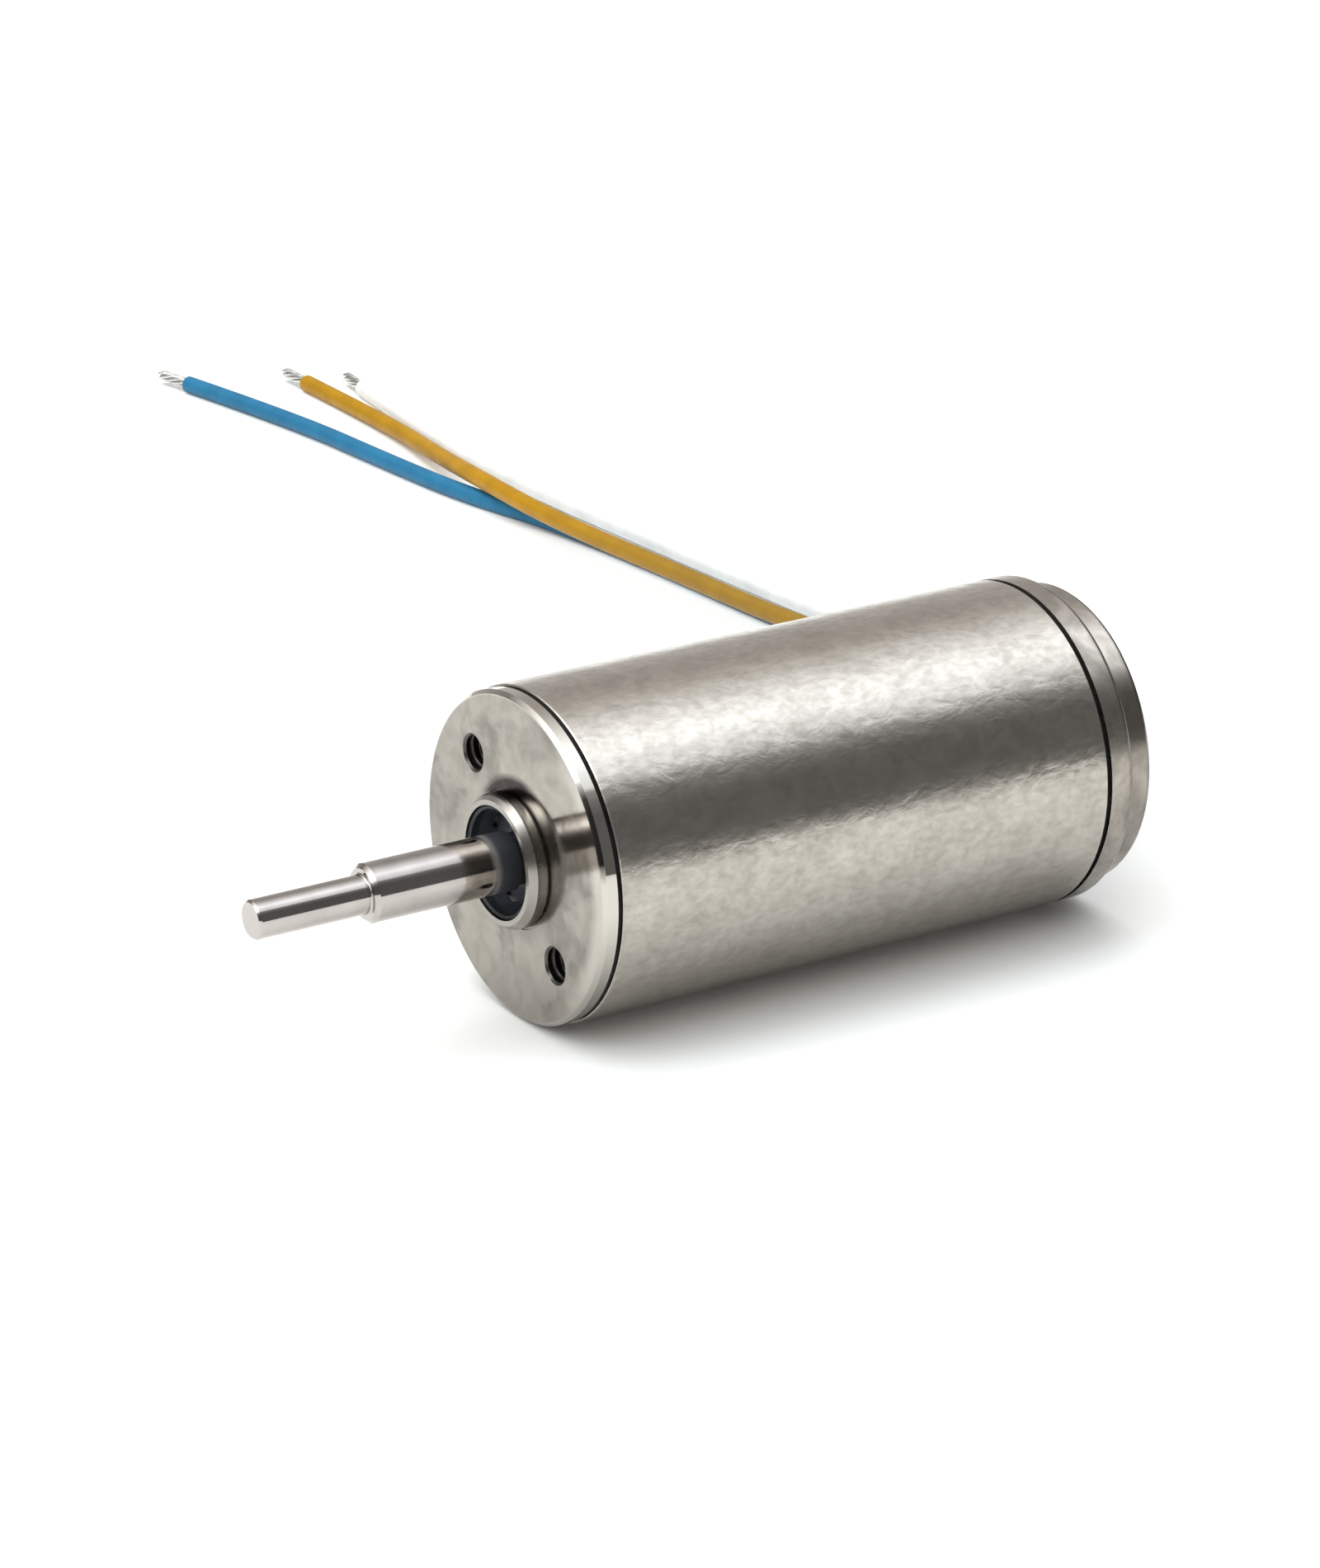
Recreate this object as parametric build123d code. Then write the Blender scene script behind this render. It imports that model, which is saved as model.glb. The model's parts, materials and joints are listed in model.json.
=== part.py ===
"""Slotless brushless electric motor, 17 mm in diameter, with a stepped shaft and three leads.

The motor lies on its side. Its axis is Y: the shaft points to -Y, the leads leave at +Y.
The origin is the centre of the front flange's face. All sizes are in millimetres.
"""

import os
from math import cos, radians, sin, tan

from build123d import *

# ---- driving dimensions ----------------------------------------------------------------

BODY_R = 8.5                # housing tube, outside
BODY_LENGTH = 33.0          # flange face to rear end face
FLOOR_Z = -BODY_R           # the surface that the motor and its leads lie on
TUBE_WALL = 0.6
SPIGOT_R = BODY_R - TUBE_WALL - 0.02

# front flange
FLANGE_RIM_R = 8.42
FLANGE_RIM_END = 0.78       # where the front joint seal begins
FLANGE_EDGE_CHAMFER = 0.2
PLATE_END = 2.4             # back of the plate that the screws hold
JOINT_SEAL_WIDTH = 0.24
JOINT_SEAL_R = 8.34
PILOT_R = 3.42
PILOT_TOP = -1.05           # the boss's lip, in front of the flange face
PILOT_CHAMFER = 0.38
LIP_WIDTH = 0.26
BOSS_MOUTH_R = 2.9
ROOT_GROOVE_WIDTH = 0.15    # relief round the boss, so that a bracket seats flat
ROOT_GROOVE_DEPTH = 0.08
SCREW_PCD = 11.5
SCREW_COUNT = 2
SCREW_ANGLE = 131.3         # degrees from +X towards +Z
SCREW_HOLE_R = 0.87         # pitch radius of an M2 thread
SCREW_MOUTH_CHAMFER = 0.12

# rear cap
TUBE_REAR_END = 29.8
CAP_SHOULDER = 31.45
CAP_STEP_R = 7.87
CAP_EDGE_RADIUS = 0.3
CAP_STEP_EDGE_RADIUS = 0.32
SPIGOT_DEPTH = 2.6
CAP_WALL_START = 31.2

# shaft
SHAFT_R = 1.5
SHAFT_TIP_R = 1.0
SHAFT_SHOULDER = -8.5
SHAFT_FRONT_END = -14.6
SHAFT_REAR_END = 30.9
SHOULDER_CHAMFER = 0.22
TIP_CHAMFER = 0.12
ROOT_RADIUS = 0.12
RELIEF_R = 1.32
RELIEF_START = -0.4
RELIEF_WIDTH = 0.65

# the two ball bearings, 3 x 7 x 3
BEARING_R = 3.5
BEARING_WIDTH = 3.0
FRONT_BEARING_START = 1.2
REAR_BEARING_START = 27.6
BALL_R = 0.5
BALL_COUNT = 8
BALL_PITCH_R = (SHAFT_R + BEARING_R) / 2
GROOVE_R = BALL_R + 0.03
INNER_LAND_R = 2.15
OUTER_LAND_R = 2.85
CAGE_WIDTH = 1.6
CAGE_CLEARANCE = 0.08
SHIELD_THICKNESS = 0.15
SHIELD_INNER_R = 2.25

# front shaft seal, a black cup with an inner lip
SEAL_REAR = 1.1
SEAL_WALL = 0.22
SEAL_FLOOR = 0.45
LIP_CLEARANCE = 0.03
WINDOW_COUNT = 4            # narrow openings in the cup's wall
WINDOW_ANGLE = 157.0        # degrees from +X towards +Z
WINDOW_LENGTH = 0.8
WINDOW_WIDTH = 0.3

# rotor
MAGNET_R = 4.0
MAGNET_START = 6.6
MAGNET_END = 24.0
SLEEVE_R = 4.2
BALANCE_RING_WIDTH = 1.1
BALANCE_RING_R = 3.8
SPACER_R = 2.0

# stator
WINDING_INNER_R = 4.6
WINDING_R = 5.85
WINDING_START = 5.2
WINDING_END = 25.6
LINER_R = 6.0
STACK_R = BODY_R - TUBE_WALL
STACK_START = 6.0
STACK_END = 24.6
COIL_RING_WIDTH = 0.5
BOARD_START = 25.7
BOARD_THICKNESS = 0.8
BOARD_INNER_R = 4.7
BOARD_R = 7.6

# leads
LEAD_R = 0.55
LEAD_REST_Z = FLOOR_Z + LEAD_R
LEAD_HUMP_Z = LEAD_REST_Z + 1.3
LEAD_EXIT_R = 5.8
LEAD_START = 31.6
STRIPPED_LENGTH = 3.0
STRAND_BUNDLE_R = 0.36
LEAD_SECTION = 0.45         # share of a run that each bend may take
GROMMET_PROUD = 0.5
GROMMET_WALL = 0.55         # rubber around each lead
SOLDER_R = 0.76
SOLDER_HEIGHT = 0.5

# Each lead's route: out of the rear cap, round towards -X, down and along the floor.
# The yellow lead passes over the blue one in a long low hump.
LEAD_ROUTES = {
    "yellow": [
        (-5.58, LEAD_START, 1.6),
        (-5.58, 35.8, 1.6),
        (-8.2, 39.3, 0.8),
        (-13.4, 40.9, -1.3),
        (-20.0, 41.4, -3.8),
        (-28.0, 41.3, -5.7),
        (-37.0, 40.9, LEAD_HUMP_Z),
        (-47.5, 40.1, LEAD_HUMP_Z),
        (-60.0, 39.0, LEAD_HUMP_Z),
        (-70.0, 39.3, LEAD_HUMP_Z),
        (-77.5, 40.8, -7.5),
        (-86.0, 42.1, LEAD_REST_Z),
        (-97.0, 42.0, LEAD_REST_Z),
    ],
    "white": [
        (-5.8, LEAD_START, 0.0),
        (-5.8, 37.4, 0.0),
        (-8.3, 42.2, -0.9),
        (-13.8, 45.1, -2.9),
        (-21.0, 46.1, -5.2),
        (-29.5, 46.1, -7.2),
        (-38.5, 45.6, LEAD_REST_Z),
        (-48.0, 44.7, LEAD_REST_Z),
        (-58.0, 43.9, LEAD_REST_Z),
        (-67.5, 43.2, LEAD_REST_Z),
        (-76.0, 42.9, LEAD_REST_Z),
        (-84.5, 43.4, LEAD_REST_Z),
        (-94.0, 44.6, LEAD_REST_Z),
    ],
    "blue": [
        (-5.58, LEAD_START, -1.6),
        (-5.58, 36.8, -1.6),
        (-8.2, 41.2, -3.4),
        (-13.6, 43.9, -5.5),
        (-21.5, 44.9, -7.3),
        (-31.0, 44.3, LEAD_REST_Z),
        (-41.0, 42.8, LEAD_REST_Z),
        (-52.0, 42.1, LEAD_REST_Z),
        (-63.0, 40.9, LEAD_REST_Z),
        (-71.0, 38.9, LEAD_REST_Z),
        (-79.5, 38.1, LEAD_REST_Z),
        (-90.0, 37.3, LEAD_REST_Z),
        (-101.0, 35.2, LEAD_REST_Z),
    ],
}
LEAD_EXITS = [route[0] for route in LEAD_ROUTES.values()]

TO_REAR = (0, 1, 0)


# ---- helpers ---------------------------------------------------------------------------

def turned(*corners):
    """Solid of revolution about the motor's axis, from its (radius, y) corners."""
    outline = Polyline(*corners, close=True)
    return revolve(make_face(outline), axis=Axis.Y)


def ring(outer_r, inner_r, start, end):
    """Plain ring between two places on the axis."""
    return turned((inner_r, start), (outer_r, start), (outer_r, end), (inner_r, end))


def rod(x, z, radius, start, end):
    """Round bar along Y at (x, z), from start to end."""
    plane = Plane(origin=(x, start, z), z_dir=TO_REAR)
    return extrude(plane * Circle(radius), end - start)


def round_edges(solid, radius, y):
    """The circular edges of a solid that have this radius and lie at this y."""
    def matches(edge):
        return abs(edge.radius - radius) < 1e-3 and abs(edge.arc_center.Y - y) < 1e-3
    return solid.edges().filter_by(GeomType.CIRCLE).filter_by(matches)


def around(radius, angle):
    """(x, z) of the point at this radius and this angle in degrees from +X towards +Z."""
    return radius * cos(radians(angle)), radius * sin(radians(angle))


def screw_places():
    """(x, z) of each tapped hole."""
    step = 360 / SCREW_COUNT
    return [around(SCREW_PCD / 2, SCREW_ANGLE + i * step) for i in range(SCREW_COUNT)]


def bearing_balls(start):
    """The ring of balls of the bearing that begins at this y."""
    middle = start + BEARING_WIDTH / 2
    balls = []
    for i in range(BALL_COUNT):
        x, z = around(BALL_PITCH_R, i * 360 / BALL_COUNT)
        balls.append(Pos(x, middle, z) * Sphere(BALL_R))
    return balls


# ---- housing ---------------------------------------------------------------------------

def housing_tube():
    start = FLANGE_RIM_END + JOINT_SEAL_WIDTH
    tube = ring(BODY_R, BODY_R - TUBE_WALL, start, TUBE_REAR_END)
    ends = round_edges(tube, BODY_R, start) + round_edges(tube, BODY_R, TUBE_REAR_END)
    return chamfer(ends, 0.06)


def front_flange():
    """Flange with the pilot boss, the front bearing's seat and the spigot in the tube."""
    spigot_end = PLATE_END + SPIGOT_DEPTH - 1.0
    hub_end = FRONT_BEARING_START + BEARING_WIDTH + 0.2
    body = turned(
        (BOSS_MOUTH_R, PILOT_TOP),
        (BOSS_MOUTH_R + LIP_WIDTH, PILOT_TOP),
        (PILOT_R, PILOT_TOP + PILOT_CHAMFER),
        (PILOT_R, ROOT_GROOVE_DEPTH),
        (PILOT_R + ROOT_GROOVE_WIDTH, ROOT_GROOVE_DEPTH),
        (PILOT_R + ROOT_GROOVE_WIDTH, 0),
        (FLANGE_RIM_R, 0),
        (FLANGE_RIM_R, FLANGE_RIM_END),
        (SPIGOT_R, FLANGE_RIM_END),
        (SPIGOT_R, spigot_end),
        (SPIGOT_R - 0.7, spigot_end),
        (SPIGOT_R - 0.7, PLATE_END),
        (BEARING_R + 0.7, PLATE_END),
        (BEARING_R + 0.7, hub_end),
        (BEARING_R, hub_end),
        (BEARING_R, FRONT_BEARING_START),
        (BOSS_MOUTH_R, FRONT_BEARING_START),
    )
    body = chamfer(round_edges(body, FLANGE_RIM_R, 0), FLANGE_EDGE_CHAMFER)
    for x, z in screw_places():
        body -= rod(x, z, SCREW_HOLE_R, -0.1, PLATE_END + 0.1)
        mouth = Plane(origin=(x, SCREW_MOUTH_CHAMFER / 2, z), z_dir=TO_REAR)
        wide = SCREW_HOLE_R + SCREW_MOUTH_CHAMFER
        body -= mouth * Cone(wide, SCREW_HOLE_R, SCREW_MOUTH_CHAMFER)
    return body


def joint_seal(start):
    """Thin black ring that shows as the dark line between two metal parts."""
    return ring(JOINT_SEAL_R, SPIGOT_R, start, start + JOINT_SEAL_WIDTH)


def rear_cap():
    """Cap with the rear bearing's seat, its spigot and the slot for the lead grommet."""
    flange_start = TUBE_REAR_END + JOINT_SEAL_WIDTH
    spigot_start = TUBE_REAR_END - SPIGOT_DEPTH
    body = turned(
        (0, BODY_LENGTH),
        (CAP_STEP_R, BODY_LENGTH),
        (CAP_STEP_R, CAP_SHOULDER),
        (BODY_R, CAP_SHOULDER),
        (BODY_R, flange_start),
        (SPIGOT_R, flange_start),
        (SPIGOT_R, spigot_start),
        (SPIGOT_R - 0.7, spigot_start),
        (SPIGOT_R - 0.7, CAP_WALL_START),
        (BEARING_R + 0.7, CAP_WALL_START),
        (BEARING_R + 0.7, REAR_BEARING_START),
        (BEARING_R, REAR_BEARING_START),
        (BEARING_R, CAP_WALL_START),
        (0, CAP_WALL_START),
    )
    body = fillet(round_edges(body, CAP_STEP_R, BODY_LENGTH), CAP_EDGE_RADIUS)
    body = fillet(round_edges(body, BODY_R, CAP_SHOULDER), CAP_STEP_EDGE_RADIUS)
    return body - grommet_blank(CAP_WALL_START - 0.1, BODY_LENGTH + 0.1, 0)


def grommet_blank(start, end, margin):
    """Slot-shaped bar along Y around the three lead exits."""
    middle = Plane(origin=(-LEAD_EXIT_R + 0.1, start, 0), x_dir=(0, 0, 1), z_dir=TO_REAR)
    half_width = LEAD_R + GROMMET_WALL + margin
    centres_apart = 2 * 1.6
    return extrude(middle * SlotCenterToCenter(centres_apart, 2 * half_width), end - start)


def lead_grommet():
    """Black rubber grommet in the rear cap, with one hole for each lead."""
    grommet = grommet_blank(CAP_WALL_START, BODY_LENGTH + GROMMET_PROUD, 0)
    rim = grommet_blank(BODY_LENGTH, BODY_LENGTH + GROMMET_PROUD, 0.35)
    rim = fillet(rim.faces().sort_by(Axis.Y)[-1].edges(), 0.25)
    grommet += rim
    for x, _, z in LEAD_EXITS:
        grommet -= rod(x, z, LEAD_R, CAP_WALL_START - 0.1, BODY_LENGTH + GROMMET_PROUD + 0.1)
    return grommet


def front_shaft_seal():
    """Black cup that lines the boss and reaches in to a lip just clear of the shaft."""
    front = PILOT_TOP + 0.08
    lip_r = SHAFT_R + LIP_CLEARANCE
    cup = turned(
        (BOSS_MOUTH_R - SEAL_WALL * 0.5, front),
        (BOSS_MOUTH_R, front + SEAL_WALL * 0.5),
        (BOSS_MOUTH_R, SEAL_REAR),
        (lip_r + 0.35, SEAL_REAR),
        (lip_r, SEAL_REAR - 0.2),
        (lip_r, SEAL_REAR - 0.35),
        (lip_r + 0.3, SEAL_REAR - SEAL_FLOOR),
        (BOSS_MOUTH_R - SEAL_WALL, SEAL_REAR - SEAL_FLOOR),
        (BOSS_MOUTH_R - SEAL_WALL, front + 0.1),
    )
    middle = SEAL_REAR - SEAL_FLOOR - WINDOW_WIDTH / 2
    for i in range(WINDOW_COUNT):
        x, z = around(1, WINDOW_ANGLE + i * 360 / WINDOW_COUNT)
        outwards = Plane(origin=(2.4 * x, middle, 2.4 * z), x_dir=TO_REAR, z_dir=(x, 0, z))
        cup -= extrude(outwards * Rectangle(WINDOW_WIDTH, WINDOW_LENGTH), 1.0)
    return cup


# ---- bearings --------------------------------------------------------------------------

def ball_groove(start):
    """The torus that the balls sweep, with their running clearance."""
    centre = (BALL_PITCH_R, start + BEARING_WIDTH / 2)
    return revolve(Pos(*centre) * Circle(GROOVE_R), axis=Axis.Y)


def inner_ring(start):
    end = start + BEARING_WIDTH
    blank = ring(INNER_LAND_R, SHAFT_R, start, end)
    edges = round_edges(blank, SHAFT_R, start) + round_edges(blank, SHAFT_R, end)
    return chamfer(edges, 0.08) - ball_groove(start)


def outer_ring(start):
    end = start + BEARING_WIDTH
    blank = ring(BEARING_R, OUTER_LAND_R, start, end)
    edges = round_edges(blank, BEARING_R, start) + round_edges(blank, BEARING_R, end)
    return chamfer(edges, 0.1) - ball_groove(start)


def shields(start):
    """The bearing's two thin side shields, clear of the inner ring."""
    front = start + 0.15
    rear = start + BEARING_WIDTH - 0.15 - SHIELD_THICKNESS
    return [
        ring(OUTER_LAND_R, SHIELD_INNER_R, y, y + SHIELD_THICKNESS) for y in (front, rear)
    ]


def ball_cage(start):
    """Ring with a drilled pocket for each ball."""
    middle = start + BEARING_WIDTH / 2
    cage = ring(
        OUTER_LAND_R - CAGE_CLEARANCE,
        INNER_LAND_R + CAGE_CLEARANCE,
        middle - CAGE_WIDTH / 2,
        middle + CAGE_WIDTH / 2,
    )
    for i in range(BALL_COUNT):
        x, z = around(BALL_PITCH_R, i * 360 / BALL_COUNT)
        outwards = Plane(origin=(0, middle, 0), z_dir=(x, 0, z))
        cage -= extrude(outwards * Circle(GROOVE_R), BEARING_R)
    return cage


def preload_spring():
    """Disc spring that presses on the rear bearing's outer ring."""
    bearing_end = REAR_BEARING_START + BEARING_WIDTH
    thickness = 0.2
    return turned(
        (3.4, bearing_end),
        (3.4, bearing_end + thickness),
        (2.5, CAP_WALL_START),
        (2.5, CAP_WALL_START - thickness),
    )


# ---- rotor -----------------------------------------------------------------------------

def shaft():
    """Stepped shaft, with a shallow relief between its output end and its journal."""
    body = turned(
        (0, SHAFT_FRONT_END),
        (SHAFT_TIP_R, SHAFT_FRONT_END),
        (SHAFT_TIP_R, SHAFT_SHOULDER),
        (SHAFT_R, SHAFT_SHOULDER),
        (SHAFT_R, RELIEF_START),
        (RELIEF_R, RELIEF_START),
        (RELIEF_R, RELIEF_START + RELIEF_WIDTH),
        (SHAFT_R, RELIEF_START + RELIEF_WIDTH),
        (SHAFT_R, SHAFT_REAR_END),
        (0, SHAFT_REAR_END),
    )
    body = chamfer(round_edges(body, SHAFT_TIP_R, SHAFT_FRONT_END), TIP_CHAMFER)
    body = chamfer(round_edges(body, SHAFT_R, SHAFT_SHOULDER), SHOULDER_CHAMFER)
    body = fillet(round_edges(body, SHAFT_TIP_R, SHAFT_SHOULDER), ROOT_RADIUS)
    return chamfer(round_edges(body, SHAFT_R, SHAFT_REAR_END), 0.15)


def rotor_parts():
    front_bearing_end = FRONT_BEARING_START + BEARING_WIDTH
    front_ring_start = MAGNET_START - BALANCE_RING_WIDTH
    rear_ring_end = MAGNET_END + BALANCE_RING_WIDTH
    magnet = ring(MAGNET_R, SHAFT_R, MAGNET_START, MAGNET_END)
    return {
        "shaft": shaft(),
        "rotor_magnet": magnet,
        "magnet_sleeve": ring(SLEEVE_R, MAGNET_R, MAGNET_START, MAGNET_END),
        "front_balance_ring": balance_ring(front_ring_start),
        "rear_balance_ring": balance_ring(MAGNET_END),
        "front_spacer": ring(SPACER_R, SHAFT_R, front_bearing_end, front_ring_start),
        "rear_spacer": ring(SPACER_R, SHAFT_R, rear_ring_end, REAR_BEARING_START),
        "front_bearing_inner_ring": inner_ring(FRONT_BEARING_START),
        "rear_bearing_inner_ring": inner_ring(REAR_BEARING_START),
    }


def balance_ring(start):
    """Brass ring whose rim takes the shallow drillings that balance the rotor."""
    blank = ring(BALANCE_RING_R, SHAFT_R, start, start + BALANCE_RING_WIDTH)
    middle = start + BALANCE_RING_WIDTH / 2
    for angle in (35, 75):
        x, z = around(BALANCE_RING_R, angle)
        blank -= Pos(x, middle, z) * Sphere(0.35)
    return blank


# ---- stator ----------------------------------------------------------------------------

def terminal_board():
    """Ring-shaped board that joins the winding to the leads."""
    board = ring(BOARD_R, BOARD_INNER_R, BOARD_START, BOARD_START + BOARD_THICKNESS)
    return board - rod(*around(BOARD_R, 90), 0.6, BOARD_START - 0.1, BOARD_START + 1)


def solder_joints():
    """One cone of solder under each lead, on the back of the board."""
    board_back = BOARD_START + BOARD_THICKNESS
    joints = []
    for x, _, z in LEAD_EXITS:
        middle = Plane(origin=(x, board_back + SOLDER_HEIGHT / 2, z), z_dir=TO_REAR)
        joints.append(middle * Cone(SOLDER_R, LEAD_R, SOLDER_HEIGHT))
    return joints


def stator_parts():
    return {
        "stator_laminations": ring(STACK_R, LINER_R, STACK_START, STACK_END),
        "insulation_liner": ring(LINER_R, WINDING_R, STACK_START, STACK_END),
        "winding": ring(WINDING_R, WINDING_INNER_R, WINDING_START, WINDING_END),
        "coil_end_ring": ring(
            STACK_R, WINDING_R, STACK_START - COIL_RING_WIDTH, STACK_START
        ),
        "terminal_board": terminal_board(),
        "solder_joints": solder_joints(),
    }


# ---- leads -----------------------------------------------------------------------------

def bend_radii(points):
    """Largest even bend at each inner point: it takes LEAD_SECTION of the shorter run."""
    radii = []
    for before, here, after in zip(points, points[1:], points[2:]):
        run_in, run_out = here - before, after - here
        turn = run_in.get_angle(run_out)
        shorter = min(run_in.length, run_out.length)
        radii.append(LEAD_SECTION * shorter / tan(radians(turn) / 2))
    return radii


def lead(name, route):
    """Insulated lead along its route."""
    points = [Vector(*point) for point in route]
    radii = bend_radii(points)
    path = FilletPolyline(*points, radius=radii)
    start = Plane(origin=points[0], z_dir=points[1] - points[0])
    tube = sweep(start * Circle(LEAD_R), path=path)
    expected = Circle(LEAD_R).area * path.length
    print(f"{name} lead: {path.length:.1f} long, volume/expected {tube.volume / expected:.4f}")
    print("  radii", " ".join(f"{radius:.1f}" for radius in radii))
    return tube


def stripped_end(route):
    """Tinned strands beyond the end of a lead's insulation."""
    last, end = Vector(*route[-2]), Vector(*route[-1])
    along = Plane(origin=end, z_dir=end - last)
    return extrude(along * Circle(STRAND_BUNDLE_R), STRIPPED_LENGTH)


def lead_parts():
    parts = {}
    for name, route in LEAD_ROUTES.items():
        parts[f"{name}_lead"] = lead(name, route)
        parts[f"{name}_lead_tip"] = stripped_end(route)
    solder_top = BOARD_START + BOARD_THICKNESS + SOLDER_HEIGHT
    parts["lead_inner_ends"] = [
        rod(x, z, LEAD_R, solder_top, LEAD_START) for x, _, z in LEAD_EXITS
    ]
    return parts


# ---- the motor -------------------------------------------------------------------------

def motor():
    """Every piece of the motor, by the name of its node."""
    front, rear = FRONT_BEARING_START, REAR_BEARING_START
    return {
        "housing_tube": housing_tube(),
        "front_flange": front_flange(),
        "rear_cap": rear_cap(),
        "front_joint_seal": joint_seal(FLANGE_RIM_END),
        "rear_joint_seal": joint_seal(TUBE_REAR_END),
        "front_shaft_seal": front_shaft_seal(),
        "lead_grommet": lead_grommet(),
        "front_bearing_outer_ring": outer_ring(front),
        "rear_bearing_outer_ring": outer_ring(rear),
        "front_bearing_shields": shields(front),
        "rear_bearing_shields": shields(rear),
        "front_bearing_balls": bearing_balls(front),
        "rear_bearing_balls": bearing_balls(rear),
        "front_ball_cage": ball_cage(front),
        "rear_ball_cage": ball_cage(rear),
        "preload_spring": preload_spring(),
        **rotor_parts(),
        **stator_parts(),
        **lead_parts(),
    }


os.makedirs("parts", exist_ok=True)
for node, shape in motor().items():
    if isinstance(shape, list):
        shape = Compound(shape)
    export_step(shape, f"parts/{node}.step")
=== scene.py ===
"""Looks of a slotless brushless electric motor, 17 mm in diameter, lying on a white table.

Everything is in metres in the row frame: the motor's axis is Y, the shaft points to -Y, the
origin is the centre of the front flange's face and the table is at z = -8.5 mm.
"""
import json
from math import cos, hypot, pi, radians, sin, tau

import bpy
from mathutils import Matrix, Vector


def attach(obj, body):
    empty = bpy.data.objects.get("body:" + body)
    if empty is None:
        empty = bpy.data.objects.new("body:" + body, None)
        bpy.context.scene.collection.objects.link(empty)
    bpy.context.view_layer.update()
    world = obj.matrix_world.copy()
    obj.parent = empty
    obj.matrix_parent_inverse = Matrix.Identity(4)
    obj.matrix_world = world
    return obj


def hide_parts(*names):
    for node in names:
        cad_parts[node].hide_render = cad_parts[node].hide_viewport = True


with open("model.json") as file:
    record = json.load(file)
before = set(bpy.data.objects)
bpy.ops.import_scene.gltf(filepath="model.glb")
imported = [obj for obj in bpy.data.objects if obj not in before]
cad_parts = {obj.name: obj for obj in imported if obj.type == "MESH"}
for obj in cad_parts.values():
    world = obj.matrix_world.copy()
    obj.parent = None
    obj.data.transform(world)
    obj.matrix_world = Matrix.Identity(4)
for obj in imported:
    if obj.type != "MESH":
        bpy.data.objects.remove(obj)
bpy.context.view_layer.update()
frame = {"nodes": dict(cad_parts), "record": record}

scene = bpy.context.scene
nodes = frame["nodes"]

FLOOR_Z = -0.0085
SCREW_ANGLE = 131.3
SCREW_CIRCLE_R = 0.00575
CAP_STEP_Y = 0.03142
LAMINATION_THICKNESS = 0.0002
TRACK_PITCH = 0.0007        # of the terminal board's copper rings

# ---- camera ----------------------------------------------------------------------------

camera_data = bpy.data.cameras.new("camera")
camera_data.sensor_width = 36
camera_data.lens = 127.56
camera_data.clip_start = 0.01
camera = bpy.data.objects.new("camera", camera_data)
scene.collection.objects.link(camera)
camera.location = (0.21625, -0.12869, 0.10183)
camera.rotation_euler = Vector((0.78697, -0.49911, 0.36273)).to_track_quat("Z", "Y").to_euler()
scene.camera = camera
scene.view_settings.view_transform = "Standard"

# ---- floor and light -------------------------------------------------------------------


def area_light(name, place, target, size, radiance, color=(1, 1, 1)):
    """Soft rectangular light at a place, facing a target, of this size and brightness."""
    data = bpy.data.lights.new(name, "AREA")
    data.shape = "RECTANGLE"
    data.size, data.size_y = size
    data.energy = radiance * pi * size[0] * size[1]
    data.color = color
    light = bpy.data.objects.new(name, data)
    scene.collection.objects.link(light)
    light.location = place
    light.rotation_euler = (Vector(place) - Vector(target)).to_track_quat("Z", "Y").to_euler()
    light.visible_camera = False
    light.visible_glossy = False


area_light("fill", (0.42, -0.38, 0.58), (0, 0.015, 0), (0.60, 0.45), 2.25)
area_light("back_softbox", (-0.36, 0.14, 0.72), (0, 0.015, 0), (0.80, 0.60), 1.7)

# The studio round the motor, by angle from the +X horizon over the top to the -X horizon, with the
# brightness and blueness of each step. Beside the motor there is a dark room on the right, a long
# softbox overhead with a sharp right edge, and a grey wall on the left. In front of it the softbox
# is narrower and both horizons are dark.
SIDE_STUDIO = [
    (0, 0.16, 1.0), (40, 0.155, 1.0), (50, 0.24, 1.02), (57, 0.42, 1.05), (60, 1.20, 1.11),
    (70, 1.50, 1.12), (78, 1.85, 1.12), (86, 2.15, 1.12), (95, 1.75, 1.10), (105, 1.35, 1.05),
    (115, 1.0, 1.0), (125, 0.70, 0.96), (135, 0.55, 0.94), (150, 0.52, 0.93), (165, 0.62, 0.93),
    (180, 0.64, 0.93),
]
FRONT_STUDIO = [
    (0, 0.12, 1.0), (50, 0.15, 1.0), (64, 0.35, 1.0), (76, 1.4, 1.06), (88, 4.1, 1.1),
    (100, 4.5, 1.1), (112, 3.2, 1.05), (126, 1.9, 1.0), (140, 1.0, 0.97), (154, 0.28, 0.95),
    (180, 0.18, 0.95),
]
ENDS_GREY = 0.12

world = bpy.data.worlds.new("studio")
scene.world = world
world.use_nodes = True
sky = world.node_tree


def sky_node(kind, inputs, **settings):
    """Adds a node to the studio's tree, with values or links for its inputs."""
    node = sky.nodes.new("ShaderNode" + kind)
    for key, value in settings.items():
        setattr(node, key, value)
    for key, value in inputs.items():
        if isinstance(value, bpy.types.NodeSocket):
            sky.links.new(value, node.inputs[key])
        else:
            node.inputs[key].default_value = value
    return node


towards = sky_node("SeparateXYZ", {0: sky_node("TexCoord", {}).outputs["Generated"]}).outputs
angle = sky_node("Math", {0: towards["Z"], 1: towards["X"]}, operation="ARCTAN2").outputs[0]
share = sky_node("Math", {0: angle, 1: pi}, operation="DIVIDE").outputs[0]


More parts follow.
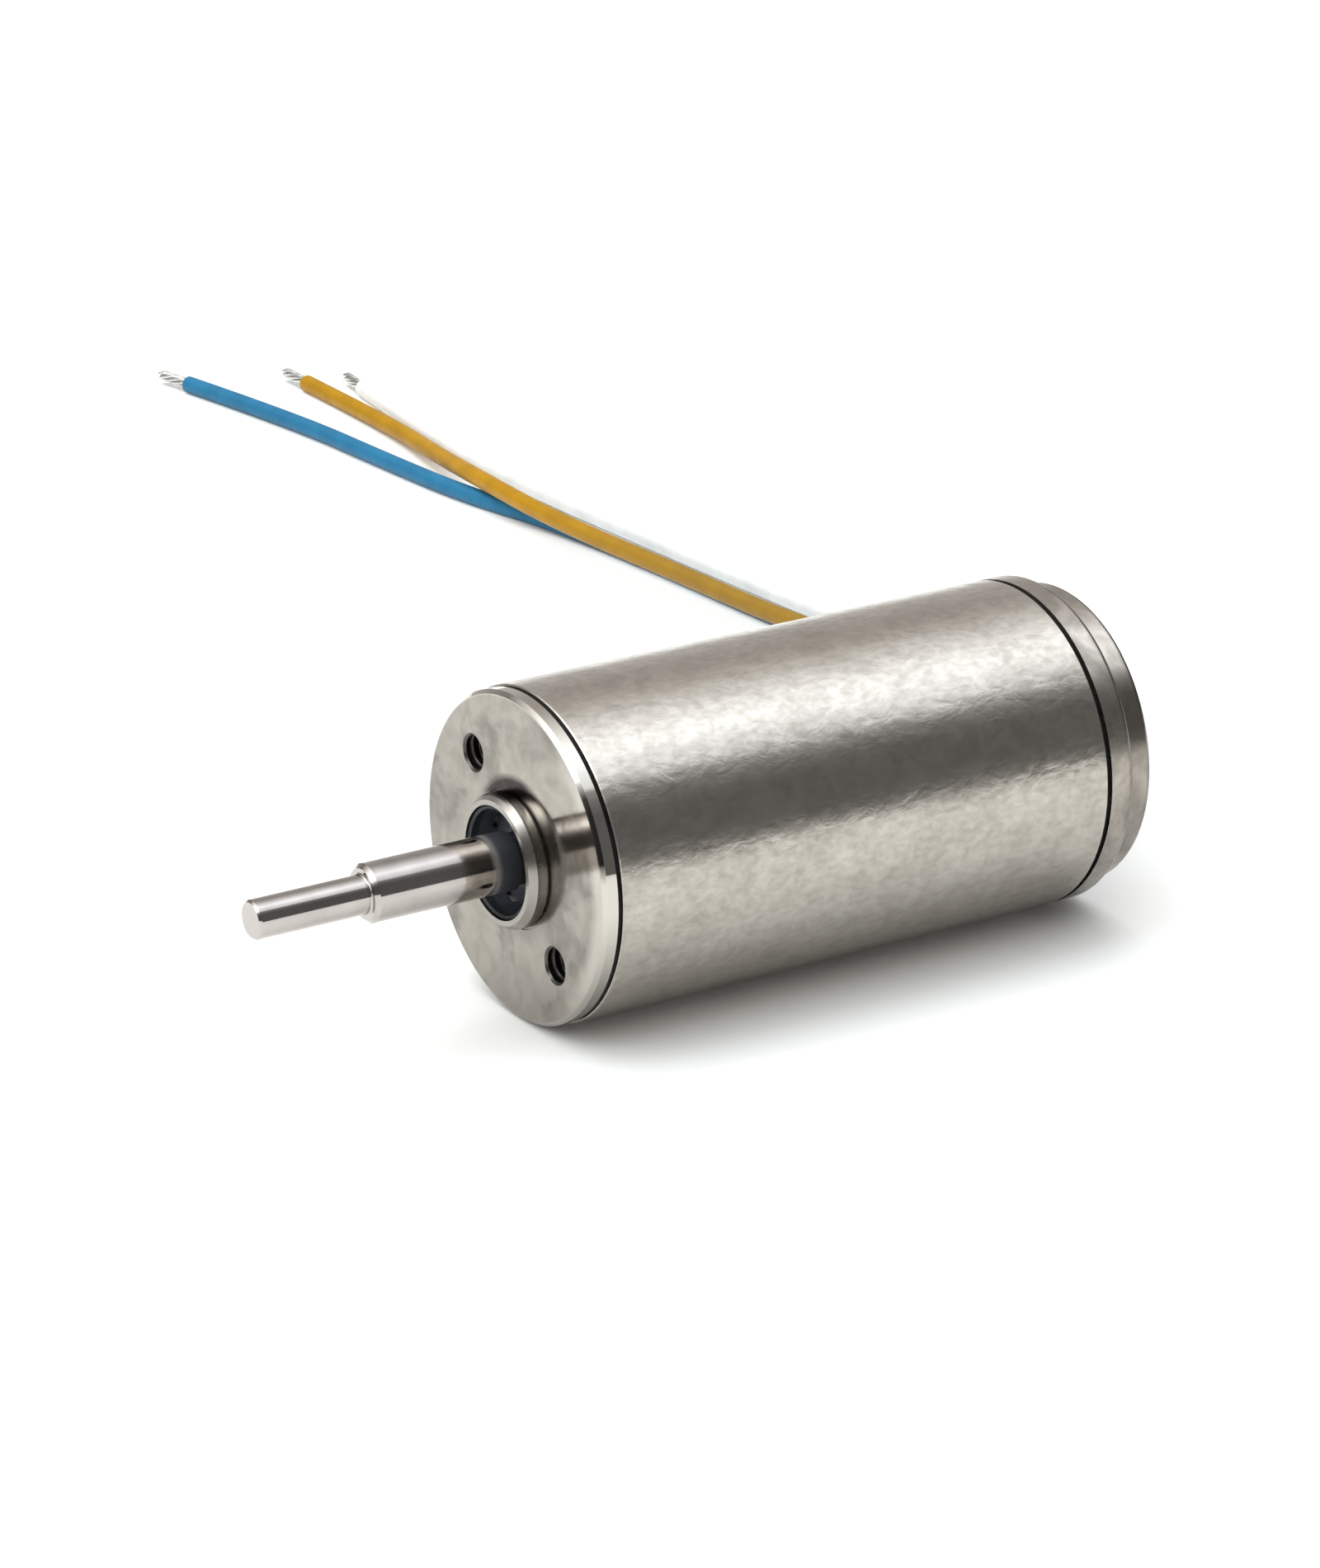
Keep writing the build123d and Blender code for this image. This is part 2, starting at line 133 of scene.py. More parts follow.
def studio_ramp(steps):
    """The studio's colour by angle, from its steps of (degrees, brightness, blueness)."""
    shade = sky_node("ValToRGB", {"Fac": share})
    elements = shade.color_ramp.elements
    while len(elements) < len(steps):
        elements.new(0.5)
    for element, (degrees, value, blueness) in zip(elements, steps):
        element.position = degrees / 180
        element.color = (value, value * (1 + blueness) / 2, value * blueness, 1)
    return shade.outputs[0]


# From the sides the studio turns into the front one as a direction leans to -Y, and into plain
# grey right behind the motor.
to_front = sky_node("MapRange", {"Value": towards["Y"], "From Min": 0.05, "From Max": -0.4}).outputs[0]
to_rear = sky_node("MapRange", {"Value": towards["Y"], "From Min": 0.62, "From Max": 0.88}).outputs[0]
sides = sky_node(
    "Mix", {0: to_front, 6: studio_ramp(SIDE_STUDIO), 7: studio_ramp(FRONT_STUDIO)}, data_type="RGBA"
)
whole = sky_node("Mix", {0: to_rear, 6: sides.outputs[2], 7: (ENDS_GREY,) * 3 + (1,)}, data_type="RGBA")
sky.links.new(whole.outputs[2], sky.nodes["Background"].inputs["Color"])

# ---- materials -------------------------------------------------------------------------


class Paint:
    """A Principled material and short ways to add nodes to it. Lengths are in metres."""

    def __init__(self, name, color, metallic, roughness):
        self.material = bpy.data.materials.new(name)
        self.material.use_nodes = True
        self.tree = self.material.node_tree
        self.shader = self.tree.nodes["Principled BSDF"]
        self.shader.inputs["Base Color"].default_value = (*color, 1)
        self.shader.inputs["Metallic"].default_value = metallic
        self.shader.inputs["Roughness"].default_value = roughness
        self.place = self.add("TexCoord").outputs["Object"]
        self.normal = None

    def add(self, kind, inputs=None, **settings):
        """Adds a node, with values or links for its inputs."""
        node = self.tree.nodes.new("ShaderNode" + kind)
        for key, value in settings.items():
            setattr(node, key, value)
        for key, value in (inputs or {}).items():
            self.feed(node.inputs[key], value)
        return node

    def feed(self, socket, value):
        if isinstance(value, bpy.types.NodeSocket):
            self.tree.links.new(value, socket)
        else:
            socket.default_value = value

    def math(self, operation, *values):
        node = self.add("Math", dict(enumerate(values)), operation=operation)
        return node.outputs[0]

    def times(self, *values):
        """The product of two or more values."""
        product = values[0]
        for value in values[1:]:
            product = self.math("MULTIPLY", product, value)
        return product

    def distance(self, first, second):
        """How far off a point is that lies this far off in two directions."""
        squares = [self.math("MULTIPLY", value, value) for value in (first, second)]
        return self.math("SQRT", self.math("ADD", *squares))

    def noise(self, size, detail=2.0, stretch=(1, 1, 1), warp=0.0, place=None, seed=0.0):
        """Noise from 0 to 1 whose features are about this size."""
        moved = self.add(
            "Mapping",
            {"Vector": place or self.place, "Location": (seed, seed, seed),
             "Scale": [s / size for s in stretch]},
        )
        spots = self.add(
            "TexNoise",
            {"Vector": moved.outputs[0], "Scale": 1.0, "Detail": detail, "Distortion": warp},
        )
        return spots.outputs["Fac"]

    def span(self, value, low, high, to_low=0.0, to_high=1.0, smooth=False):
        """Runs from to_low to to_high while the value runs from low to high."""
        node = self.add(
            "MapRange",
            {"Value": value, "From Min": low, "From Max": high, "To Min": to_low, "To Max": to_high},
            interpolation_type="SMOOTHSTEP" if smooth else "LINEAR",
        )
        return node.outputs["Result"]

    def mix(self, share, first, second):
        """The first colour, with this share of the second."""
        node = self.add("Mix", data_type="RGBA")
        self.feed(node.inputs["Factor"], share)
        for socket, value in ((node.inputs[6], first), (node.inputs[7], second)):
            self.feed(socket, value if isinstance(value, bpy.types.NodeSocket) else (*value, 1))
        return node.outputs[2]

    def color(self, value):
        self.feed(self.shader.inputs["Base Color"], value)

    def roughness(self, value):
        self.feed(self.shader.inputs["Roughness"], value)

    def bump(self, height, depth):
        """Raises the surface by this depth where height is 1."""
        inputs = {"Height": height, "Distance": depth, "Strength": 1.0}
        if self.normal is not None:
            inputs["Normal"] = self.normal
        self.normal = self.add("Bump", inputs).outputs["Normal"]
        self.feed(self.shader.inputs["Normal"], self.normal)

    def radius_and_y(self):
        """Distance from the motor's axis, and place along it."""
        x, along, z = self.add("SeparateXYZ", {"Vector": self.place}).outputs
        return self.distance(x, z), along

    def screw_distance(self):
        """Distance from the axis of the nearer of the two tapped holes."""
        x, _, z = self.add("SeparateXYZ", {"Vector": self.place}).outputs
        c, s = cos(radians(SCREW_ANGLE)), sin(radians(SCREW_ANGLE))
        outwards = self.math("ADD", self.math("MULTIPLY", x, c), self.math("MULTIPLY", z, s))
        across = self.math("SUBTRACT", self.math("MULTIPLY", z, c), self.math("MULTIPLY", x, s))
        off = self.math("SUBTRACT", self.math("ABSOLUTE", outwards), SCREW_CIRCLE_R)
        return self.distance(off, across)

    def axis(self, index):
        """One coordinate of the place: 0 to the right, 1 to the rear, 2 upwards."""
        return self.add("SeparateXYZ", {"Vector": self.place}).outputs[index]

    def painted_underside_shade(self, tone, share):
        """The tone with painted shade: darker by up to this share towards the underside."""
        low = self.span(self.axis(2), 0.0038, -0.0014, 0.0, share)
        return self.mix(low, tone, (0.0, 0.0, 0.0))

    def turned(self, size):
        """Noise that runs in rings round the motor's axis, as a lathe or grinder leaves."""
        radius, along = self.radius_and_y()
        rings = self.add("CombineXYZ", {"X": radius, "Y": along})
        return self.noise(size, 3.0, place=rings.outputs[0])


def brushed_steel():
    """Housing tube: satin stainless steel, finely pitted all over, with soft blotches, and painted
    shade towards the underside.
    """
    p = Paint("housing_tube_steel", (0.55, 0.51, 0.455), 1.0, 0.23)
    blotch = p.noise(0.004, 3.0, warp=0.4)
    mottle = p.noise(0.0011, 3.0, warp=0.7, seed=6.0)
    grain = p.noise(0.00022, 2.0)
    speckle = p.noise(0.00034, 3.0, stretch=(1, 0.6, 1), warp=0.3, seed=2.0)
    even = p.mix(p.span(blotch, 0.35, 0.7), (0.605, 0.567, 0.51), (0.56, 0.517, 0.46))
    dull = p.mix(p.span(blotch, 0.35, 0.7), (0.46, 0.425, 0.378), (0.42, 0.385, 0.338))
    spots = p.math("ADD", p.span(speckle, 0.34, 0.68, 0.0, 0.6), p.span(mottle, 0.4, 0.66, 0.0, 0.5))
    # Painted shade: the tube is darker towards its underside.
    p.color(p.painted_underside_shade(p.mix(spots, even, dull), 0.31))
    rough = p.math("ADD", p.span(speckle, 0.35, 0.65, 0.19, 0.25), p.span(blotch, 0.3, 0.7, 0.0, 0.03))
    p.roughness(rough)
    p.bump(p.noise(0.0009, 3.0, stretch=(1, 0.6, 1), warp=0.6), 2.3e-5)
    p.bump(speckle, 6e-6)
    p.bump(grain, 1.5e-6)
    return p.material


def flange_steel():
    """Front flange: turned and cleaned stainless steel with cloudy stains, a few marks, and painted
    highlights, reflections and shade.
    """
    p = Paint("flange_steel", (0.44, 0.41, 0.355), 1.0, 0.15)
    radius, along = p.radius_and_y()
    x, z = p.axis(0), p.axis(2)
    stain = p.noise(0.0030, 3.0, warp=0.8)
    cloud = p.noise(0.0013, 3.0, warp=0.5, seed=4.0)
    fine = p.noise(0.0006, 3.0, seed=3.0)
    clean = p.mix(p.span(cloud, 0.38, 0.64), (0.355, 0.329, 0.290), (0.297, 0.274, 0.240))
    stained = p.mix(p.span(cloud, 0.38, 0.64), (0.285, 0.264, 0.235), (0.195, 0.18, 0.158))
    face = p.mix(p.span(stain, 0.42, 0.62, smooth=True), clean, stained)
    rim = p.span(radius, 0.0081, 0.0083, smooth=True)
    boss = p.span(radius, 0.0036, 0.0034, smooth=True)

    # The boss's bevel, then its wall: a painted highlight on top, painted shade below and in the root
    # groove.
    wall = p.span(along, -0.00058, -0.00046)
    side = p.mix(wall, (0.33, 0.31, 0.28), (0.44, 0.41, 0.365))
    top = p.times(p.span(z, 0.0018, 0.0026), p.span(radius, 0.00346, 0.00344))
    side = p.mix(p.times(wall, top), side, (0.62, 0.59, 0.53))
    wall_shade_below = p.times(wall, p.span(z, -0.0006, -0.0024))
    side = p.mix(wall_shade_below, side, (0.12, 0.11, 0.095))
    groove_shade = p.times(p.span(along, -0.00018, -0.00014), p.span(radius, 0.00348, 0.00346))
    side = p.mix(groove_shade, side, (0.22, 0.205, 0.185))

    # The rim, and a painted highlight on the face's edge on the right.
    tone = p.mix(rim, face, (0.56, 0.527, 0.476))
    right_edge_highlight = p.times(p.span(radius, 0.0071, 0.0078), p.span(x, 0.0035, 0.0065), 0.6)
    tone = p.mix(right_edge_highlight, tone, (0.60, 0.565, 0.51))

    # A painted dark reflection: an arc on the rim's bevel, on the right and above the middle.
    bevel = p.times(rim, p.span(along, 0.00022, 0.00018))
    bevel_dark_reflection = p.times(p.span(z, 0.0014, 0.0022), p.span(z, 0.0060, 0.0052), p.span(x, 0.0, 0.001))
    tone = p.mix(p.times(bevel, bevel_dark_reflection), tone, (0.13, 0.12, 0.11))

    # Painted shade on the rim's underside, and the face darker and rougher round the boss's root.
    tone = p.mix(p.times(rim, p.span(z, 0.0, -0.005)), tone, (0.33, 0.31, 0.28))
    root = p.span(radius, 0.0045, 0.0036, smooth=True)
    tone = p.mix(p.times(root, 0.3), tone, (0.12, 0.105, 0.095))

    # A dark brown patch above the boss, over the face and the boss's wall.
    off = p.distance(p.math("SUBTRACT", x, 0.0005), p.math("SUBTRACT", z, 0.0003))
    lean = p.math("SUBTRACT", z, p.times(x, 0.21))
    dark_patch = p.times(
        p.span(off, 0.0042, 0.0038),
        p.span(lean, 0.0030, 0.0033),
        p.span(along, -0.00085, -0.00075),
        p.span(fine, 0.2, 0.5, 0.9, 1.0),
    )
    tone = p.mix(dark_patch, p.mix(boss, tone, side), (0.024, 0.014, 0.012))
    # Painted shade: darker towards the underside.
    tone = p.painted_underside_shade(tone, 0.12)

    # Bare metal in the boss's mouth, painted bright as a glint, and painted shade in the tapped holes:
    # darker, rougher metal.
    bore_glint = p.times(p.span(radius, 0.00305, 0.0030), p.span(along, -0.0007, -0.0006))
    tone = p.mix(bore_glint, tone, (0.85, 0.82, 0.78))
    hole = p.span(p.screw_distance(), 0.00096, 0.00102, 1.0, 0.0)
    p.color(p.mix(hole, tone, (0.10, 0.092, 0.085)))

    rough = p.math("ADD", p.span(fine, 0.3, 0.7, 0.08, 0.12), p.span(stain, 0.4, 0.65, 0.0, 0.05))
    rough = p.math("ADD", rough, p.times(root, 0.13))
    rough = p.times(rough, p.span(rim, 0.0, 1.0, 1.0, 0.45))
    p.roughness(p.math("ADD", rough, p.times(hole, 0.2)))
    p.bump(p.noise(0.0014, 2.0, seed=5.0), 4e-6)
    p.bump(p.turned(0.00009), 5e-7)
    return p.material


def cap_steel():
    """Rear cap: turned stainless steel with stains, duller on its wide band, and painted shade below,
    at its step and on its rear edge.
    """
    p = Paint("rear_cap_steel", (0.48, 0.44, 0.39), 1.0, 0.24)
    along = p.radius_and_y()[1]
    stain = p.noise(0.0022, 4.0, warp=0.8, seed=7.0)
    fine = p.noise(0.0005, 3.0, seed=9.0)
    tone = p.mix(p.span(stain, 0.40, 0.62), (0.505, 0.462, 0.41), (0.34, 0.305, 0.268))
    tone = p.mix(p.times(p.span(fine, 0.45, 0.7), 0.35), tone, (0.33, 0.295, 0.26))
    tone = p.mix(p.span(along, 0.03285, 0.03295, 0.0, 0.6), tone, (0.43, 0.395, 0.35))
    # Painted shade: darker towards the underside.
    tone = p.painted_underside_shade(tone, 0.42)

    # Patchy painted shade in the corner of the step and on the rear edge, but not on the rear face.
    from_step = p.math("ABSOLUTE", p.math("SUBTRACT", along, CAP_STEP_Y))
    step = p.span(from_step, 0.00012, 0.00034, 1.0, 0.0)
    back = p.times(p.span(along, 0.0326, 0.0329), p.span(along, 0.03299, 0.03297))
    patchy = p.span(p.noise(0.0013, 3.0, seed=12.0), 0.3, 0.6, 0.45, 0.95)
    step_and_edge_shade = p.times(p.math("MAXIMUM", step, back), patchy)
    p.color(p.mix(step_and_edge_shade, tone, (0.11, 0.10, 0.088)))
    dull = p.span(along, 0.03135, 0.0315, 0.07, 0.0)
    rough = p.math("ADD", p.span(fine, 0.3, 0.7, 0.15, 0.22), p.span(stain, 0.4, 0.7, 0.0, 0.06))
    p.roughness(p.math("ADD", rough, dull))
    p.bump(p.noise(0.0011, 2.0, seed=8.0), 7e-6)
    p.bump(p.turned(0.00012), 6e-7)
    return p.material


def shaft_steel():
    """Shaft: ground and polished hardened steel, with a dark, dull film painted as shade where it
    enters the seal.
    """
    p = Paint("shaft_steel", (0.46, 0.43, 0.405), 1.0, 0.09)
    along = p.radius_and_y()[1]
    cloud = p.noise(0.0015, 3.0)
    tone = p.mix(p.span(cloud, 0.35, 0.7), (0.470, 0.437, 0.412), (0.418, 0.385, 0.363))
    # Painted shade: the shaft turns dark, dull and non-metallic as it nears the seal.
    seal_shade_film = p.span(along, -0.0021, -0.0014, smooth=True)
    p.color(p.mix(seal_shade_film, tone, (0.027, 0.028, 0.033)))
    p.feed(p.shader.inputs["Metallic"], p.span(seal_shade_film, 0.0, 1.0, 1.0, 0.0))
    polish = p.span(p.noise(0.0005, 3.0), 0.3, 0.7, 0.07, 0.11)
    p.roughness(p.math("ADD", polish, p.times(seal_shade_film, 0.4)))
    p.bump(p.turned(0.00007), 5e-7)
    return p.material


def plain_metal(name, light, dark, roughness, spot=0.001, ring=0.0001):
    """Machined or ground metal with faint rings and slightly uneven colour."""
    p = Paint(name, light, 1.0, roughness)
    cloud = p.noise(spot, 3.0, warp=0.3)
    p.color(p.mix(p.span(cloud, 0.3, 0.7), light, dark))
    p.roughness(p.span(p.noise(spot / 3, 2.0), 0.3, 0.7, roughness * 0.8, roughness * 1.25))
    p.bump(p.turned(ring), 1e-6)
    return p.material


def lamination_steel():
    """Stack of thin steel rings, with a dark line between each two."""
    p = Paint("lamination_steel", (0.36, 0.36, 0.37), 1.0, 0.38)
    along = p.radius_and_y()[1]
    edge = p.math("ABSOLUTE", p.math("SINE", p.times(along, pi / LAMINATION_THICKNESS)))
    line = p.span(edge, 0.0, 0.35)
    p.color(p.mix(line, (0.09, 0.085, 0.08), (0.40, 0.40, 0.41)))
    p.roughness(p.span(p.noise(0.0006), 0.3, 0.7, 0.32, 0.45))
    p.bump(line, 1.2e-5)
    return p.material


def copper_winding():
    """Bundles of fine enamelled copper wire."""
    p = Paint("copper_winding", (0.62, 0.26, 0.12), 0.85, 0.32)
    strand = p.noise(0.00011, 2.0, stretch=(1, 0.12, 1), warp=0.1)
    tone = p.mix(p.span(p.noise(0.0015), 0.3, 0.7), (0.66, 0.27, 0.115), (0.50, 0.19, 0.08))
    p.color(p.mix(p.span(strand, 0.35, 0.6), (0.30, 0.11, 0.05), tone))
    p.roughness(p.span(p.noise(0.0008), 0.3, 0.7, 0.26, 0.4))
    p.bump(strand, 1.2e-5)
    return p.material


def rubber(name, color, roughness, gloss):
    """Black rubber with a fine, slightly paler grain, and a darker front edge on the shaft's seal."""
    p = Paint(name, color, 0.0, roughness)
    p.shader.inputs["Specular IOR Level"].default_value = gloss
    grain = p.noise(0.00018, 3.0)
    paler = tuple(min(1.0, c * 1.6 + 0.004) for c in color)
    tone = p.mix(p.span(p.noise(0.0012), 0.35, 0.75), color, paler)
    p.color(p.mix(p.span(p.axis(1), -0.00040, -0.00050), tone, (0.024, 0.026, 0.032)))
    p.roughness(p.span(grain, 0.3, 0.7, roughness * 0.85, roughness * 1.2))
    p.bump(grain, 3e-6)
    return p.material


def insulation(name, light, dark, roughness=0.42, motor_shadow_share=0.0):
    """Extruded wire insulation: smooth, slightly uneven, with a soft sheen, and with the motor's shadow
    painted on near the motor.
    """
    p = Paint(name, light, 0.0, roughness)
    p.shader.inputs["Specular IOR Level"].default_value = 0.18
    tone = p.mix(p.span(p.noise(0.0016, 3.0), 0.35, 0.7), light, dark)
    # Painted shadow of the motor: darker towards the motor, by the given share.
    p.color(p.mix(p.span(p.axis(0), -0.064, -0.046, 0.0, motor_shadow_share), tone, (0.12, 0.095, 0.03)))
    p.roughness(p.span(p.noise(0.0004, 3.0), 0.3, 0.7, roughness - 0.06, roughness + 0.06))
    p.bump(p.noise(0.0009, 2.0), 1.2e-5)
    p.bump(p.noise(0.00014, 2.0), 2e-6)
    return p.material


def plastic(name, light, dark, roughness):
    """Moulded or sheet plastic, slightly uneven in colour."""
    p = Paint(name, light, 0.0, roughness)
    p.color(p.mix(p.span(p.noise(0.0018, 3.0), 0.3, 0.7), light, dark))
    p.roughness(p.span(p.noise(0.0003, 3.0), 0.3, 0.7, roughness * 0.85, roughness * 1.15))
    p.bump(p.noise(0.00025, 3.0), 4e-6)
    return p.material


def board_green():
    """Glass-fibre board with solder mask over its copper tracks."""
    p = Paint("terminal_board_mask", (0.012, 0.12, 0.05), 0.0, 0.3)
    radius, _ = p.radius_and_y()
    track = p.math("ABSOLUTE", p.math("SINE", p.times(radius, pi / TRACK_PITCH)))
    weave = p.noise(0.0003, 2.0)
    p.color(p.mix(p.span(track, 0.35, 0.5), (0.02, 0.17, 0.075), (0.01, 0.10, 0.04)))
    p.roughness(p.span(weave, 0.3, 0.7, 0.24, 0.36))
    p.bump(p.span(track, 0.35, 0.5), 1.5e-5)
    p.bump(weave, 4e-6)
    return p.material


MATERIALS = {
    "satin_steel": brushed_steel(),
    "flange_steel": flange_steel(),
    "cap_steel": cap_steel(),
    "polished_steel": shaft_steel(),
    "black_seal": rubber("joint_seal_black", (0.003, 0.003, 0.003), 0.5, 0.15),
    "black_rubber": rubber("seal_rubber_black", (0.052, 0.056, 0.068), 0.48, 0.4),
    "bearing_steel": plain_metal("bearing_steel", (0.62, 0.60, 0.58), (0.54, 0.52, 0.50), 0.12),
    "pressed_steel": plain_metal("pressed_steel", (0.52, 0.50, 0.47), (0.44, 0.42, 0.39), 0.26),
    "spring_steel": plain_metal("spring_steel", (0.34, 0.31, 0.28), (0.24, 0.21, 0.19), 0.3),
    "magnet_plating": plain_metal("magnet_nickel", (0.58, 0.54, 0.48), (0.50, 0.46, 0.41), 0.22),
    "sleeve_steel": plain_metal("sleeve_steel", (0.50, 0.50, 0.50), (0.42, 0.42, 0.42), 0.28),
    "brass": plain_metal("balance_ring_brass", (0.74, 0.52, 0.22), (0.62, 0.41, 0.16), 0.24),
    "spacer_steel": plain_metal("spacer_steel", (0.54, 0.53, 0.51), (0.46, 0.45, 0.43), 0.25),
    "lamination_steel": lamination_steel(),
    "liner_film": plastic("liner_film", (0.55, 0.30, 0.08), (0.45, 0.22, 0.05), 0.3),
    "copper_winding": copper_winding(),
    "coil_ring_plastic": plastic("coil_ring_plastic", (0.045, 0.045, 0.05), (0.03, 0.03, 0.033), 0.45),
    "board_green": board_green(),
    "solder": plain_metal("solder", (0.60, 0.60, 0.60), (0.48, 0.48, 0.49), 0.3, spot=0.0004),
    "inner_lead_insulation": insulation("inner_lead_white", (0.72, 0.72, 0.69), (0.64, 0.63, 0.60)),
    "blue_insulation": insulation("lead_blue", (0.015, 0.145, 0.27), (0.012, 0.115, 0.22)),
    "yellow_insulation": insulation(
        "lead_yellow", (0.39, 0.195, 0.0008), (0.32, 0.157, 0.0008), motor_shadow_share=0.44
    ),
    "white_insulation": insulation("lead_white", (0.79, 0.785, 0.755), (0.70, 0.695, 0.665)),
    "tinned_copper": plain_metal(
        "tinned_copper", (0.66, 0.65, 0.63), (0.55, 0.54, 0.52), 0.25, spot=0.0005
    ),
}

# Dark steel for the threads' ridges: painted shade inside the tapped holes.
SHADED_THREAD_STEEL = plain_metal(
    "shaded_thread_steel", (0.11, 0.10, 0.093), (0.07, 0.064, 0.06), 0.42, spot=0.0004
)

SLOT_OF = {part["node"]: part["material_slot"] for part in frame["record"]["subparts"]}


def paint(obj, slot):
    """Gives an object the material of one of the record's slots."""
    obj.data.materials.clear()
    obj.data.materials.append(MATERIALS[slot])


for node_name, node in nodes.items():
    paint(node, SLOT_OF[node_name])

# ---- new pieces ------------------------------------------------------------------------


def place_piece(obj, slot, body, *replaced):
    """Links a new piece, paints it and lets it ride on its body."""
    scene.collection.objects.link(obj)
    paint(obj, slot)
    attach(obj, body)
    if replaced:
        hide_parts(*replaced)
    return obj


def mesh_piece(name, points, faces):
    """A smooth-shaded object from points and faces."""
    mesh = bpy.data.meshes.new(name)
    mesh.from_pydata([tuple(p) for p in points], [], faces)
    mesh.polygons.foreach_set("use_smooth", [True] * len(mesh.polygons))
    mesh.update()
    return bpy.data.objects.new(name, mesh)


def add_skin(points, faces, sections):
    """Adds a closed skin through sections that all have the same number of points."""
    base, count = len(points), len(sections[0])
    points += [p for section in sections for p in section]
    for i in range(base, len(points) - count, count):
        for k in range(count):
            after = (k + 1) % count
            faces.append((i + k, i + after, i + count + after, i + count + k))
    faces.append(tuple(range(base, base + count))[::-1])
    faces.append(tuple(range(len(points) - count, len(points))))


SCREW_PLACES = [
    (SCREW_CIRCLE_R * cos(radians(a)), SCREW_CIRCLE_R * sin(radians(a)))
    for a in (SCREW_ANGLE, SCREW_ANGLE + 180)
]
THREAD_PITCH = 0.0004
THREAD_OUTER_R = 0.000872
THREAD_INNER_R = 0.000785
THREAD_START_Y = 0.00032
THREAD_TURNS = 4.6
STEPS_PER_TURN = 40
RUN_OUT_STEPS = 14          # over which a ridge rises and fades at its ends
RIDGE_HALF_WIDTH = THREAD_PITCH * 0.46
CREST_HALF_WIDTH = 0.00004


def thread(name, x, z):
    """Ridge of an M2 thread on the wall of a tapped hole."""
    sections = []
    last = THREAD_TURNS * STEPS_PER_TURN
    for i in range(int(last) + 1):
        angle = tau * i / STEPS_PER_TURN
        y = THREAD_START_Y + THREAD_PITCH * i / STEPS_PER_TURN
        grow = min(1.0, i / RUN_OUT_STEPS, (last - i) / RUN_OUT_STEPS + 0.01)
        inner = THREAD_OUTER_R - (THREAD_OUTER_R - THREAD_INNER_R) * grow
        profile = (
            (THREAD_OUTER_R, -RIDGE_HALF_WIDTH),
            (inner, -CREST_HALF_WIDTH),
            (inner, CREST_HALF_WIDTH),
            (THREAD_OUTER_R, RIDGE_HALF_WIDTH),
        )
        sections.append([(x + r * cos(angle), y + dy, z + r * sin(angle)) for r, dy in profile])
    points, faces = [], []
    add_skin(points, faces, sections)
    return mesh_piece(name, points, faces)


for number, (x, z) in enumerate(SCREW_PLACES, 1):
    ridge = place_piece(thread(f"screw_thread_{number}", x, z), "flange_steel", "motor_body")
    ridge.data.materials[0] = SHADED_THREAD_STEEL

# The winding has no iron teeth: its bundles slant round in the outer layer, turn in at the rear
# and slant on round in the inner layer, back to the front.
BUNDLE_COUNT = 60
BUNDLE_ADVANCE = 20         # how many places further on a bundle's loop ends
OUTER_LAYER_R = 0.00553
INNER_LAYER_R = 0.00492
BUNDLE_HALF_THICKNESS = 0.00029
BUNDLE_HALF_WIDTH = 0.000235
BUNDLE_SIDES = 8
LEG_STEPS = 16
TURN_STEPS = 7
WINDING_START = 0.0052
WINDING_END = 0.0256


def bundle_loop():
    """(radius, y) and the outward direction at each step round one bundle's loop."""
    middle = (OUTER_LAYER_R + INNER_LAYER_R) / 2
    half = (OUTER_LAYER_R - INNER_LAYER_R) / 2
    front = WINDING_START + half + BUNDLE_HALF_THICKNESS
    rear = WINDING_END - half - BUNDLE_HALF_THICKNESS
    leg = [front + (rear - front) * i / LEG_STEPS for i in range(LEG_STEPS + 1)]
    turn = [pi * i / TURN_STEPS for i in range(1, TURN_STEPS)]
    loop = [(OUTER_LAYER_R, y, 1.0, 0.0) for y in leg]
    loop += [(middle + half * cos(a), rear + half * sin(a), cos(a), sin(a)) for a in turn]
    loop += [(INNER_LAYER_R, y, -1.0, 0.0) for y in leg[::-1]]
    loop += [(middle - half * cos(a), front - half * sin(a), -cos(a), -sin(a)) for a in turn]
    return loop + loop[:1]


def winding_wires(name):
    """All bundles of the winding, evenly round the motor's axis."""
    loop = bundle_loop()
    travelled = [0.0]
    for (r, y, _, _), (next_r, next_y, _, _) in zip(loop, loop[1:]):
        travelled.append(travelled[-1] + hypot(next_r - r, next_y - y))
    points, faces = [], []
    for bundle in range(BUNDLE_COUNT):
        sections = []
        for (r, y, out_r, out_y), way in zip(loop, travelled):
            angle = tau * (bundle + BUNDLE_ADVANCE * way / travelled[-1]) / BUNDLE_COUNT
            radial = Vector((cos(angle), 0, sin(angle)))
            across = Vector((-sin(angle), 0, cos(angle)))
            out = radial * out_r + Vector((0, out_y, 0))
            centre = radial * r + Vector((0, y, 0))
            section = []
            for k in range(BUNDLE_SIDES):
                turn = tau * (k + 0.5) / BUNDLE_SIDES
                wide = across * BUNDLE_HALF_WIDTH * cos(turn)
                section.append(centre + wide + out * BUNDLE_HALF_THICKNESS * sin(turn))
            sections.append(section)
        add_skin(points, faces, sections)
    return mesh_piece(name, points, faces)


place_piece(winding_wires("winding_wires"), "copper_winding", "motor_body", "winding")

